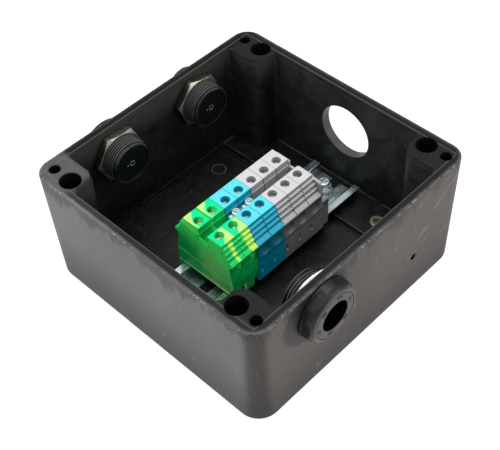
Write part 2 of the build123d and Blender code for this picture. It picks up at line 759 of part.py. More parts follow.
# (x, radius) outlines, from the outside face along the thread to the inner end
plug_outline = [
    (-plug_end, 0), (-plug_end, 15.5), (-plug_end + 0.35, 16.2), (-plug_end + 1.0, 16.8),
    (-plug_end + 1.6, head_r), (-head_under, head_r),
    *thread_profile(-head_under, -61.0),
    (-60.9, 12.1), (-60.35, 12.1), (-60.0, 11.75), (-60.0, 11.1), (-60.7, 11.0), (-60.7, 0),
]
bushing_outline = [
    (bushing_end, bushing_bore_r + 0.35), (bushing_end, 14.3), (bushing_end - 0.5, 15.0),
    (bushing_end - 1.8, 16.1), (bushing_end - 3.4, 16.8), (bushing_end - 4.6, head_r),
    (head_under, head_r),
    *thread_profile(head_under, 65.8),
    (65.6, 12.2), (64.9, 12.2), (64.6, 11.9), (64.6, 9.6), (65.2, bushing_bore_r),
    (bushing_end - 0.35, bushing_bore_r),
]


def stopping_plug(name, y, flat_r):
    """Closed plug in the left wall; flat_r is from the axis to the hexagon's flats."""
    with BuildPart() as plug:
        with BuildSketch(axial_plane(y, plug_z)):
            with BuildLine():
                Polyline(*plug_outline, close=True)
            make_face()
        revolve(axis=Axis((0, y, plug_z), (1, 0, 0)))
        with BuildSketch(x_plane(-head_under - 0.5, y, plug_z, -1)):
            Circle(22)
            RegularPolygon(radius=flat_r, side_count=6, major_radius=False, rotation=24,
                           mode=Mode.SUBTRACT)
        extrude(amount=10, mode=Mode.SUBTRACT)
        # gate ring and a short dash on the inner end
        with BuildSketch(x_plane(-60.72, y, plug_z, 1)):
            Circle(1.7)
            Circle(1.25, mode=Mode.SUBTRACT)
            with Locations((-3.1, 0)):
                Rectangle(1.2, 0.5)
        extrude(amount=0.3)
        # outer face sunk on both sides of a bar
        with BuildSketch(x_plane(-plug_end, y, plug_z, 1)):
            Circle(10.5)
            Rectangle(22, 4.0, mode=Mode.SUBTRACT)
        extrude(amount=1.2, mode=Mode.SUBTRACT)
    finish(plug, name)


stopping_plug("stopping_plug_front", plug_y[0], 16.3)
stopping_plug("stopping_plug_rear", plug_y[1], 15.2)

with BuildPart() as entry_bushing:
    with BuildSketch(axial_plane(bushing_y, bushing_z)):
        with BuildLine():
            Polyline(*bushing_outline, close=True)
        make_face()
    revolve(axis=Axis((0, bushing_y, bushing_z), (1, 0, 0)))
    with BuildSketch(x_plane(head_under + 0.9, bushing_y, bushing_z, 1)):
        Circle(22)
        RegularPolygon(radius=16.0, side_count=6, major_radius=False, rotation=28,
                       mode=Mode.SUBTRACT)
    extrude(amount=10, mode=Mode.SUBTRACT)
    # ring groove and plain raised dashes on the face
    with BuildSketch(x_plane(bushing_end, bushing_y, bushing_z, -1)):
        Circle(13.5)
        Circle(13.1, mode=Mode.SUBTRACT)
    extrude(amount=0.35, mode=Mode.SUBTRACT)
    with BuildSketch(x_plane(bushing_end - 0.05, bushing_y, bushing_z, 1)):
        with PolarLocations(11.1, 6, start_angle=14):
            RectangleRounded(1.5, 3.2, 0.35)
    extrude(amount=0.3)
finish(entry_bushing, "entry_bushing")


# ---------------------------------------------------------------- locknuts and seals
def locknuts(name, side, nut_t, places):
    """Hexagon locknuts against the inside of the wall on this side; places are y, z, turn."""
    face = inner_half - 0.03
    with BuildPart() as nuts:
        for y, z, turn in places:
            with BuildSketch(x_plane(side * face, y, z, -side)):
                RegularPolygon(radius=14.2, side_count=6, major_radius=False, rotation=turn)
                Circle(entry_thread_r + 0.05, mode=Mode.SUBTRACT)
            extrude(amount=nut_t)
            # turned chamfers on the corners of both faces
            for x, inward in ((side * (face - nut_t), side), (side * face, -side)):
                with BuildSketch(axial_plane(y, z)):
                    with BuildLine():
                        Polyline((x, 14.0), (x, 18.0), (x + inward * 2.02, 18.0), close=True)
                    make_face()
                revolve(axis=Axis((0, y, z), (1, 0, 0)), mode=Mode.SUBTRACT)
    finish(nuts, name)


def seals(name, side, places):
    """Flat rings between spot face and head on this side; places are y, z."""
    with BuildPart() as rings:
        for y, z in places:
            with BuildSketch(x_plane(side * (spot_x + seal_gap), y, z, side)):
                Circle(seal_r)
                Circle(seal_bore_r, mode=Mode.SUBTRACT)
            extrude(amount=seal_t)
    finish(rings, name)


locknuts("plug_locknuts", -1, plug_nut_t, [(plug_y[0], plug_z, -6), (plug_y[1], plug_z, -12)])
locknuts("bushing_locknut", 1, bushing_nut_t, [(bushing_y, bushing_z, 4)])
seals("plug_seals", -1, [(y, plug_z) for y in plug_y])
seals("bushing_seal", 1, [(bushing_y, bushing_z)])
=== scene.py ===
"""Looks of an open junction box with rail-mounted terminals.

The box lies on its back on the floor with its open side up: +Z runs from the floor to the rim,
X and Y run across it from its middle. The script gives each CAD piece a procedural material,
then sets up a studio floor, lights and a camera. Places inside the materials are in
millimetres, the scene itself is in metres.
"""

import json
from functools import cached_property

import bmesh
import bpy
from mathutils import Matrix, Vector

MM = 0.001

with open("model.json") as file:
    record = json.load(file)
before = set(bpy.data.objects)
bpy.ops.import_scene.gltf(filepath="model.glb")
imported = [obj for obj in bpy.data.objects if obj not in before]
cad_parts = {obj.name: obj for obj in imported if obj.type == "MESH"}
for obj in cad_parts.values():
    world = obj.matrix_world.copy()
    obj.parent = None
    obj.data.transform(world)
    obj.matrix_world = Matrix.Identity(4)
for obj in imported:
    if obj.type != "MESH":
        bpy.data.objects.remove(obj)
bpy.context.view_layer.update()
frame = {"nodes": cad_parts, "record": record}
scene = bpy.context.scene


# ---------------------------------------------------------------- signals: shader sockets
class Signal:
    """An output socket that takes part in arithmetic: each operator adds one math node."""

    def __init__(self, tree, socket):
        self.tree = tree
        self.socket = socket

    def __add__(self, other):
        return calc("ADD", self, other)

    def __radd__(self, other):
        return calc("ADD", other, self)

    def __sub__(self, other):
        return calc("SUBTRACT", self, other)

    def __rsub__(self, other):
        return calc("SUBTRACT", other, self)

    def __mul__(self, other):
        return calc("MULTIPLY", self, other)

    def __truediv__(self, other):
        return calc("DIVIDE", self, other)

    def __pow__(self, other):
        return calc("POWER", self, other)

    def __abs__(self):
        return calc("ABSOLUTE", self)


def feed(socket, value):
    """Link a signal to an input, or set the input to a constant."""
    if isinstance(value, Signal):
        value.tree.links.new(value.socket, socket)
    elif isinstance(value, tuple) and len(value) == 3 and len(socket.default_value) == 4:
        socket.default_value = (*value, 1.0)
    else:
        socket.default_value = value


def make(kind, inputs, output=0, tree=None, **settings):
    """Add a node, in the tree of its first signal unless one is given; return one output."""
    if tree is None:
        tree = next(value.tree for value in inputs.values() if isinstance(value, Signal))
    node = tree.nodes.new(kind)
    for name, value in settings.items():
        setattr(node, name, value)
    for key, value in inputs.items():
        feed(node.inputs[key], value)
    return Signal(tree, node.outputs[output])


def calc(operation, *values, use_clamp=False):
    inputs = dict(enumerate(values))
    return make("ShaderNodeMath", inputs, operation=operation, use_clamp=use_clamp)


def highest(first, second):
    return calc("MAXIMUM", first, second)


def lowest(first, second):
    return calc("MINIMUM", first, second)


def scaled(value, factor, offset):
    """value * factor + offset, in one node."""
    return calc("MULTIPLY_ADD", value, factor, offset)


def inverse(mask):
    return calc("SUBTRACT", 1.0, mask, use_clamp=True)


def radius(across, along):
    return calc("SQRT", across ** 2.0 + along ** 2.0)


def step(value, start, end):
    """Smooth rise from 0 at start to 1 at end; start may be the larger of the two."""
    low, high = 0.0, 1.0
    if not isinstance(start, Signal) and start > end:
        start, end, low, high = end, start, high, low
    inputs = {"Value": value, "From Min": start, "From Max": end, "To Min": low, "To Max": high}
    return make("ShaderNodeMapRange", inputs, interpolation_type="SMOOTHSTEP")


def band(value, centre, half, soft=0.15):
    """1 within half of centre, fading to 0 over soft."""
    return step(abs(value - centre), half + soft, half)


def swing(noise, amount):
    """A noise moved to vary around zero, times amount."""
    return (noise - 0.5) * amount


def mottle(*parts):
    """Brightness that varies around 1, from pairs of noise and amount."""
    total = swing(*parts[0])
    for part in parts[1:]:
        total = total + swing(*part)
    return total + 1.0


def join(x, y, z):
    return make("ShaderNodeCombineXYZ", {0: x, 1: y, 2: z})


def split(vector):
    node_x = make("ShaderNodeSeparateXYZ", {0: vector})
    outputs = node_x.socket.node.outputs
    return tuple(Signal(vector.tree, socket) for socket in outputs)


def vector_math(operation, first, second, output=0):
    return make("ShaderNodeVectorMath", {0: first, 1: second}, output, operation=operation)


def shade(colour, amount):
    """A colour or vector times a number."""
    return make("ShaderNodeVectorMath", {0: colour, "Scale": amount}, operation="SCALE")


def mix(mask, base, colour):
    """base where the mask is 0, colour where it is 1."""
    return make("ShaderNodeMix", {0: mask, 6: base, 7: colour}, 2, data_type="RGBA")


def blend(mask, low, high):
    """Number low where the mask is 0, high where it is 1."""
    return make("ShaderNodeMix", {0: mask, 2: low, 3: high}, data_type="FLOAT")


def paint(base, mask, cover, colour):
    """Lay colour over base through the mask; cover is how opaque it gets."""
    return mix(mask * cover, base, colour)


def brighten(colour, mask, by):
    """Change brightness by this fraction where the mask is 1; a negative one darkens."""
    return shade(colour, scaled(mask, by, 1.0))


class Look:
    """One procedural material, with the sources of its pattern."""

    def __init__(self, name):
        self.material = bpy.data.materials.new(name)
        self.material.use_nodes = True
        self.tree = self.material.node_tree
        self.tree.nodes.clear()
        output = self.tree.nodes.new("ShaderNodeOutputMaterial")
        self.shader = self.tree.nodes.new("ShaderNodeBsdfPrincipled")
        self.tree.links.new(self.shader.outputs[0], output.inputs[0])

    @cached_property
    def coordinates(self):
        return self.tree.nodes.new("ShaderNodeTexCoord")

    @cached_property
    def position(self):
        """Place in the object's own space, in millimetres."""
        return shade(Signal(self.tree, self.coordinates.outputs["Object"]), 1 / MM)

    @cached_property
    def xyz(self):
        return split(self.position)

    @cached_property
    def facing(self):
        """X, Y and Z of the surface normal."""
        return split(Signal(self.tree, self.coordinates.outputs["Normal"]))

    def noise(self, scale, detail=3.0, rough=0.55, bend=0.0, stretch=None,
              shift=(0.0, 0.0, 0.0), at=None):
        """Scale is in cycles per millimetre; stretch scales each axis first."""
        place = vector_math("ADD", at or self.position, shift)
        if stretch is not None:
            place = vector_math("MULTIPLY", place, stretch)
        return make("ShaderNodeTexNoise", {"Vector": place, "Scale": scale, "Detail": detail,
                                           "Roughness": rough, "Distortion": bend})

    def scratches(self, scale, width, stretch, shift, bend, cover):
        """Thin curved lines where a stretched noise crosses its middle, kept in patches."""
        wave = self.noise(scale, 1.0, 0.4, bend, stretch, shift)
        line = step(abs(wave - 0.5), width, 0.0)
        patch_shift = (shift[0] + 31.0, shift[1], shift[2])
        patch = self.noise(scale * 0.9, 2.0, 0.5, shift=patch_shift)
        return line * step(patch, cover, cover + 0.12)

    def surface(self, edge, *bumps):
        """Normal with edges rounded to a radius, then bumps of (height 0..1, depth), in mm."""
        normal = make("ShaderNodeBevel", {"Radius": edge * MM}, tree=self.tree, samples=6)
        for height, depth in bumps:
            normal = make("ShaderNodeBump", {"Height": height, "Strength": 1.0,
                                             "Distance": depth * MM, "Normal": normal})
        return normal

    def set(self, **inputs):
        for name, value in inputs.items():
            feed(self.shader.inputs[name.replace("_", " ")], value)
        return self.material


# ---------------------------------------------------------------- the box
BOX_HEIGHT = 75.0
FLOOR_HALF, RIM_HALF = 79.5, 80.0  # half the outer width, at the floor and at the rim
FLOOR_CORNER, RIM_CORNER = 12.5, 10.0  # outer corner radius, likewise


def box_skin(z, abs_x, abs_y):
    """Distance from the drafted outer skin, negative inside it."""
    half = scaled(z, (RIM_HALF - FLOOR_HALF) / BOX_HEIGHT, FLOOR_HALF)
    corner = scaled(z, (RIM_CORNER - FLOOR_CORNER) / BOX_HEIGHT, FLOOR_CORNER)
    past_x = abs_x - half + corner
    past_y = abs_y - half + corner
    square_x = highest(past_x, 0.0) * highest(past_x, 0.0)
    square_y = highest(past_y, 0.0) * highest(past_y, 0.0)
    reach = calc("SQRT", square_x + square_y)
    return reach + lowest(highest(past_x, past_y), 0.0) - corner


def box_wall(look, flank, mid, fine, streak, scuff):
    """Outside: a grey painted lighter than the black inside as painted reflection of the pale
    floor, streaky, with painted shade at the rounded corners and a darker band under the rim.
    """
    x, y, z = look.xyz
    face_x, face_y, _ = look.facing
    big = look.noise(0.03, bend=0.4)
    side = step(face_x, 0.3, 0.8)  # the +X wall
    # painted light: the +X wall is painted darker and warmer than the -Y wall
    wall = mix(side, (0.096, 0.0915, 0.0885), (0.0680, 0.0545, 0.0490))
    wall = shade(wall, mottle((big, 0.34), (mid, 0.22), (streak, 0.30), (fine, 0.07)))
    wall = brighten(wall, step(z, 50.0, 0.0), by=-0.68)
    wall = brighten(wall, step(x, -30.0, -70.0) * inverse(side), by=0.20)
    # painted shade on the +X wall beside the bushing
    wall = brighten(wall, band(y, -14.0, 8.0, 18.0) * side, by=-0.20)
    # painted shade on the rounded corners, which face away from both side lamps
    corners = step(lowest(abs(face_x), abs(face_y)), 0.10, 0.5)
    wall = brighten(wall, corners, by=-0.62)

    # darker band hanging down from the rim, with a ragged lower edge
    ragged = look.noise(0.075, detail=4.0, rough=0.62, bend=1.2, stretch=(1.0, 1.0, 0.35),
                        shift=(2.0, 5.0, 0.0))
    jag = look.noise(0.5, rough=0.6, bend=0.5, stretch=(1.0, 1.0, 0.12), shift=(4.0, 2.0, 0.0))
    rim_dark_band_foot = scaled(ragged, -34.0, 83.0) + swing(jag, 6.0)
    rim_dark_band = step(z, rim_dark_band_foot, rim_dark_band_foot + 5.5) * flank
    wall = brighten(wall, rim_dark_band, by=-0.50)
    brushed = look.noise(0.9, detail=2.0, rough=0.6, bend=0.2, stretch=(1.0, 1.0, 0.06),
                         shift=(0.0, 3.0, 2.0))
    wall = brighten(wall, (brushed - 0.5) * step(z, 30.0, 72.0), by=0.5)

    # the shade round the bushing's head
    from_bushing = radius((y + 38.6) * 0.86, z - 59.0)
    wall = brighten(wall, step(from_bushing, 21.5, 18.0) * side, by=-0.72)
    level_scuff = look.scratches(0.2, width=0.014, stretch=(0.35, 0.35, 1.0),
                                 shift=(11.0, 2.0, 6.0), bend=0.8, cover=0.57)
    wall = paint(wall, scuff + level_scuff, cover=0.30, colour=(0.21, 0.19, 0.18))

    # pale slanting rubs near the +Y end of the +X wall
    slant = vector_math("DOT_PRODUCT", look.position, (0.0, 0.9, 0.44), output=1)
    slanted = join(slant * 0.22, (z - y * 0.5) * 1.6, 2.0)
    rubs = step(look.noise(0.16, rough=0.6, bend=0.2, at=slanted), 0.60, 0.70)
    zone = side * step(y, 24.0, 44.0) * step(z, 16.0, 34.0)
    return paint(wall, rubs * zone, cover=0.42, colour=(0.30, 0.28, 0.265))


def box_rim(look, skin, abs_x, abs_y, mid, fine):
    """Rim: dark and flat, with a painted highlight on its rounded outer band, painted light
    that varies by side, and a painted reflection on one corner boss.
    """
    x, y, _ = look.xyz
    tone = mottle((mid, 0.6), (fine, 0.45))
    # painted highlight on the rounded outer edge of the rim
    outer_band = step(skin + swing(mid, 0.9), -2.3, -1.3)
    colour = mix(outer_band, (0.0090, 0.0090, 0.0090), (0.040, 0.040, 0.0395))
    colour = shade(colour, tone)
    # painted light: brighter along the -Y side, most towards -X, and painted shade along the -X
    # side
    by_side = (1.0 + step(y, -71.0, -74.0) * step(x, 10.0, -50.0) * 1.6
               + step(y, -71.0, -74.0) * 0.5 + step(x, -71.0, -74.0) * -0.45)
    colour = shade(colour, by_side)
    # painted reflection on the top of the -X -Y corner boss
    boss = (step(abs_x, 51.0, 58.0) * step(abs_y, 57.0, 62.0)
            * step(x, 0.0, -10.0) * step(y, 0.0, -10.0))
    return paint(colour, boss, cover=0.8, colour=shade((0.088, 0.088, 0.0875), tone))


def box_pale_lines(look, outer, abs_x, abs_y, fine):
    """Painted highlights along the edges of the raised floor and the feet of the walls, a pale
    ejector ring, and rubbed upright edges of the corner bosses.
    """
    x, y, z = look.xyz
    face_z = look.facing[2]
    patchy = step(look.noise(0.12, rough=0.6), 0.30, 0.52)
    # painted highlight along the edges of the raised floor
    lip = highest(band(abs_x, 69.5, 0.28) * step(abs_y, 44.6, 44.2),
                  band(abs_y, 44.0, 0.28) * step(abs_x, 70.1, 69.6))
    lip = highest(lip, band(abs_y, 49.5, 0.25) * step(z, 5.6, 6.2))
    lip = lip * step(z, 4.6, 5.4) * step(z, 7.2, 6.9)
    # painted highlight along the feet of the walls
    root = band(highest(abs_x, abs_y), 74.0, 0.35, 0.25) * band(z, 6.7, 0.35, 0.2)
    ring = band(radius(x + 60.2, y - 31.2), 4.25, 0.42, 0.2)
    ring = ring * step(fine, 0.36, 0.52) * step(z, 6.1, 6.25) * step(z, 7.0, 6.6)
    # upright edges of the corner bosses
    upright = highest(band(abs_x, 52.2, 0.5, 0.4) * step(abs_y, 72.0, 73.0),
                      band(abs_y, 59.6, 0.5, 0.4) * step(abs_x, 72.0, 73.0))
    upright = upright * step(face_z, 0.5, 0.2) * inverse(outer)
    pale = highest(highest(lip * 0.85, root * 0.7) * patchy, ring * 0.9)
    broken = step(look.noise(0.5, detail=4.0, rough=0.7), 0.42, 0.62)
    return highest(pale, upright * 0.6 * broken)


def box_inside(look, outer, abs_x, abs_y, mid, fine):
    """Inside: glossy black with smudges, hairlines and a little dust, painted light on the
    upright walls and their tops, and painted shade in the wells.
    """
    z = look.xyz[2]
    face_x, face_y, face_z = look.facing
    dust = step(look.noise(0.055, detail=5.0, rough=0.7, bend=0.9, shift=(20.0, 3.0, 8.0)),
                0.50, 0.72)
    smudge = step(look.noise(0.09, detail=5.0, rough=0.72, bend=1.2, shift=(2.0, 30.0, 8.0)),
                  0.53, 0.68)
    smudge = smudge * step(look.noise(0.7, rough=0.7), 0.40, 0.62)
    # painted light: walls facing -Y lighter, and all upright walls lighter than the floor
    inner = mix(step(face_y, -0.4, -0.8), (0.0060, 0.0065, 0.0068), (0.0120, 0.0124, 0.0132))
    inner = brighten(inner, step(face_z, 0.5, 0.2), by=0.6)
    haze = step(look.noise(0.07, detail=5.0, rough=0.68, bend=1.0, shift=(12.0, 6.0, 4.0)),
                0.38, 0.64)
    inner = shade(inner, swing(mid, 0.9) + haze * 0.75 + 0.66)
    inner = paint(inner, dust, cover=0.45, colour=(0.017, 0.017, 0.0175))
    inner = paint(inner, smudge, cover=0.62, colour=(0.042, 0.043, 0.044))
    hairs = look.scratches(0.16, width=0.010, stretch=(0.25, 1.0, 1.0),
                           shift=(3.0, 1.0, 5.0), bend=0.9, cover=0.53)
    hairs = hairs + look.scratches(0.22, width=0.010, stretch=(1.0, 0.3, 0.6),
                                   shift=(13.0, 4.0, 5.0), bend=0.7, cover=0.54)
    inner = paint(inner, hairs, cover=0.35, colour=(0.05, 0.052, 0.055))
    # painted light on the top of the inner walls, near the open side, fading downwards,
    # strongest where they face +X
    high = step(z + swing(mid, 12.0), 54.0, 73.0) * step(face_z, 0.5, 0.2)
    high_cover = scaled(step(face_x, 0.3, 0.8), 0.75, 0.15)
    inner = paint(inner, high, cover=high_cover, colour=(0.046, 0.044, 0.040))
    # painted shade in the wells and the lid screw holes
    from_well = radius(abs_x - 59.6, abs_y - 70.5)
    from_lid_screw = radius(abs_x - 72.2, abs_y - 70.5)
    deep = highest(step(from_well, 6.1, 5.9), step(from_lid_screw, 3.35, 3.15))
    inner = paint(inner, deep, cover=0.85, colour=(0.0015, 0.0015, 0.0016))
    pale = box_pale_lines(look, outer, abs_x, abs_y, fine)
    return paint(inner, pale, cover=0.85, colour=(0.105, 0.107, 0.108))


def box_look():
    """Black moulded polyester: satin outside painted grey as painted reflection of the pale
    floor, glossy black inside, worn rim.
    """
    look = Look("box_grp_moulded")
    x, y, z = look.xyz
    face_z = look.facing[2]
    abs_x, abs_y = abs(x), abs(y)
    skin = box_skin(z, abs_x, abs_y)
    outer = step(skin, -1.1, -0.7)
    upward = step(face_z, 0.55, 0.85)
    rim = step(z, 74.2, 74.7) * upward
    flank = outer * inverse(upward)
    # the round hole through the +Y wall, whose bore gets painted light
    hole = step(radius(x - 1.76, z - 45.5), 17.6, 17.2) * step(y, 70.0, 71.0)

    mid = look.noise(0.16, detail=4.0, rough=0.6, bend=0.5, shift=(7.0, 3.0, 1.0))
    fine = look.noise(1.3, rough=0.6)
    grain = look.noise(5.0, detail=2.0, rough=0.5)
    chip = look.noise(0.62, detail=5.0, rough=0.75, bend=0.6, shift=(9.0, 1.0, 0.0))
    streak = look.noise(0.12, detail=4.0, rough=0.6, bend=0.3, stretch=(1.0, 1.0, 0.16),
                        shift=(3.0, 9.0, 4.0))
    polish = look.noise(0.09, bend=0.8, stretch=(1.0, 1.0, 0.3), shift=(5.0, 8.0, 2.0))
    scuff = look.scratches(0.11, width=0.016, stretch=(1.0, 1.0, 0.22),
                           shift=(1.0, 2.0, 3.0), bend=0.4, cover=0.52)

    # rubbed edges and small white nicks of the rim
    edge = step(z, 73.4, 74.6) * step(skin, -1.5, -0.5)
    worn = look.noise(0.35, detail=4.0, rough=0.65, bend=0.3, shift=(4.0, 4.0, 4.0))
    rub = edge * step(worn, 0.36, 0.60)
    inside_edge = step(z, 74.3, 74.7) * band(highest(abs_x, abs_y), 75.2, 0.18, 0.2)
    rub = highest(rub, inside_edge * 0.7)
    nick = step(z, 73.9, 74.6) * step(skin, -1.2, -0.55) * step(chip, 0.60, 0.67)

    colour = mix(flank, box_inside(look, outer, abs_x, abs_y, mid, fine),
                 box_wall(look, flank, mid, fine, streak, scuff))
    colour = paint(colour, hole, cover=inverse(rim), colour=(0.066, 0.0675, 0.0665))
    colour = mix(rim, colour, box_rim(look, skin, abs_x, abs_y, mid, fine))
    colour = paint(colour, rub, cover=0.55, colour=(0.135, 0.132, 0.128))
    colour = paint(colour, nick, cover=0.9, colour=(0.66, 0.66, 0.65))

    rough_inside = polish * 0.34 + fine * 0.08 + 0.20
    rough_outside = streak * 0.16 + fine * 0.12 + 0.40
    normal = look.surface(0.35, (mid, blend(flank, 0.12, 0.05)), (fine, 0.025), (grain, 0.010),
                          (inverse(scuff * flank + nick * 0.8), 0.04))
    return look.set(Base_Color=colour, Normal=normal, IOR=1.5,
                    Roughness=blend(highest(flank, rim), rough_inside, rough_outside),
                    Specular_IOR_Level=blend(flank, blend(rim, 0.17, 0.10), 0.34))


# ---------------------------------------------------------------- plastic pieces
def moulded(name, top, side, rough, vary, wear, wear_amount, gleam=0.3, through=0.0):
    """Moulded polyamide, painted paler on the faces that look up as painted light, with grain,
    clouds and fine rubs.

    vary is the strength of the clouds, wear the colour of the rubs, and through the strength of
    a painted glow on the shaded sides, standing in for light through the plastic.
    """
    look = Look(name)
    x, _, z = look.xyz
    face_z = look.facing[2]
    cloud = look.noise(0.11, detail=4.0, rough=0.6, bend=0.4)
    speck = look.noise(1.6, rough=0.6)
    up = step(face_z, 0.70, 0.92) * step(z, 51.0, 51.9)
    # painted light: up faces take the top colour, sloping crests part of it
    crest = step(face_z, 0.15, 0.7) * inverse(up)
    base = paint(side, crest, cover=0.30, colour=top)
    base = mix(up, base, top)
    base = shade(base, mottle((cloud, vary), (speck, vary * 0.5)))
    # the end faces in X: painted shade under the ribs in the middle of their height, and
    # painted light a little brighter below
    flat = step(abs(x), 15.6, 16.4) * inverse(up)
    under = step(z, 27.5, 30.5) * step(z, 41.0, 38.5) * flat
    base = brighten(base, under, by=-0.42)
    base = brighten(base, step(z, 28.5, 26.0) * flat, by=0.16)
    rub = look.scratches(0.45, width=0.02, stretch=(1.0, 0.4, 1.0), shift=(5.0, 2.0, 1.0),
                         bend=0.8, cover=0.54)
    base = paint(base, rub, cover=wear_amount, colour=wear)
    if through:
        # painted light: the sides that don't look up glow a little
        look.set(Emission_Color=base, Emission_Strength=inverse(up) * through)
    normal = look.surface(0.2, (speck, 0.02), (look.noise(6.0, detail=2.0, rough=0.5), 0.012))
    return look.set(Base_Color=base, Roughness=cloud * 0.14 + speck * 0.10 + (rough - 0.12),
                    Normal=normal, IOR=1.5, Specular_IOR_Level=gleam)


def fitting_look():
    """Black polyamide: painted lighter outside the walls as painted light, glossy inside,
    painted highlights on thread crests, lips and the head's rim, painted shade in the bore, and
    pale marks.
    """
    look = Look("black_polyamide_satin")
    x, y, z = look.xyz
    abs_x = abs(x)
    cloud = look.noise(0.13, detail=4.0, rough=0.6, bend=0.5)
    speck = look.noise(1.7, rough=0.6)
    outside = step(abs_x, 79.0, 80.0)
    front = step(x, 88.2, 88.28) * step(look.facing[0], 0.6, 0.9)  # head's +X face
    # distance from the axis of the nearest fitting: a pair on the -X side, one on the +X side
    from_axis = mix(step(x, -1.0, 1.0), join(0.0, abs(y) - 30.0, z - 56.8),
                    join(0.0, y + 34.2, z - 56.7))
    away = make("ShaderNodeVectorMath", {0: from_axis}, 1, operation="LENGTH")
    crest = step(away, 11.95, 12.4) * step(away, 13.2, 12.8) * inverse(outside)
    bore = step(away, 9.0, 8.75) * step(x, 0.0, 1.0)
    lip = (band(away, 11.75, 0.45, 0.2) * step(abs_x, 62.5, 61.5) * inverse(outside)
           * step(x, 1.0, -1.0))
    mark = step(abs_x, 60.68, 60.6) * step(away, 6.0, 5.5) * step(x, 1.0, -1.0)
    # painted light: the heads outside the box are painted lighter than the parts inside
    base = mix(outside, (0.0036, 0.0037, 0.0041), (0.0120, 0.0120, 0.0116))
    # painted light on the head's +X face
    base = paint(base, front, cover=step(x, 88.42, 88.34), colour=(0.0475, 0.0425, 0.0395))
    base = shade(base, mottle((cloud, 0.5), (speck, 0.25)))
    # painted highlights on the thread crests and on the lip at the thread end
    base = paint(base, crest, cover=0.85, colour=(0.085, 0.082, 0.086))
    base = mix(lip * 0.30 * step(cloud, 0.35, 0.6), base, (0.10, 0.10, 0.102))
    base = paint(base, mark, cover=0.85, colour=(0.16, 0.16, 0.16))
    base = paint(base, step(x, 88.42, 88.50), cover=0.8, colour=(0.010, 0.009, 0.009))
    # painted highlight on the outer ring of the head's face
    rim = band(away, 14.9, 0.6, 0.4) * step(x, 87.4, 87.9)
    base = paint(base, rim, cover=0.35, colour=(0.12, 0.115, 0.11))
    # painted shade inside the bore
    base = mix(bore, base, (0.0012, 0.0012, 0.0013))
    rub = look.scratches(0.35, width=0.016, stretch=(1.0, 1.0, 0.5), shift=(2.0, 5.0, 1.0),
                         bend=0.8, cover=0.55)
    base = mix(rub * 0.25 * inverse(bore), base, (0.09, 0.088, 0.085))
    return look.set(Base_Color=base, Roughness=cloud * 0.2 + speck * 0.1 + 0.24,
                    Normal=look.surface(0.25, (cloud, 0.05), (speck, 0.02)), IOR=1.5,
                    Specular_IOR_Level=blend(bore, blend(outside, 0.16, 0.25), 0.03))


TERMINAL_PITCH = 9.9


def terminal_front(look, wander, drift):
    """-Y wall: painted shade, dark green at -X and low, painted light above, an olive cloud on
    the +X side, and painted highlights on its edges.
    """
    x, _, z = look.xyz
    # painted shade low and towards -X, painted light higher up
    lift = step(z * 1.0 + x * 0.35 + drift * 14.0, 22.0, 46.0)
    green = mix(lift, (0.001, 0.26, 0.060), (0.045, 0.74, 0.105))
    from_olive = radius((x + -6.5) * 0.085, (z + -29.0) * 0.075)
    olive = step(from_olive + drift * 0.9 + wander * 0.5, 1.05, 0.35)
    green = paint(green, olive, cover=0.65, colour=(0.15, 0.47, 0.08))
    low = step(z, 20.0, 15.6) * step(x, -8.0, 6.0)
    green = paint(green, low, cover=0.7, colour=(0.30, 0.42, 0.05))
    # painted highlights along level lines, then along the sloping edge
    line = highest(band(z, 15.7, 0.30, 0.25), band(z, 25.3, 0.16, 0.2) * 0.45)
    green = paint(green, line, cover=0.75, colour=(0.42, 0.95, 0.32))
    above_slope = z - scaled(x, -0.172, 47.6)
    slope_highlight = band(above_slope, -0.05, 0.30, 0.25) * step(x, -1.8, -2.6)
    return paint(green, slope_highlight, cover=0.8, colour=(0.40, 1.0, 0.30))


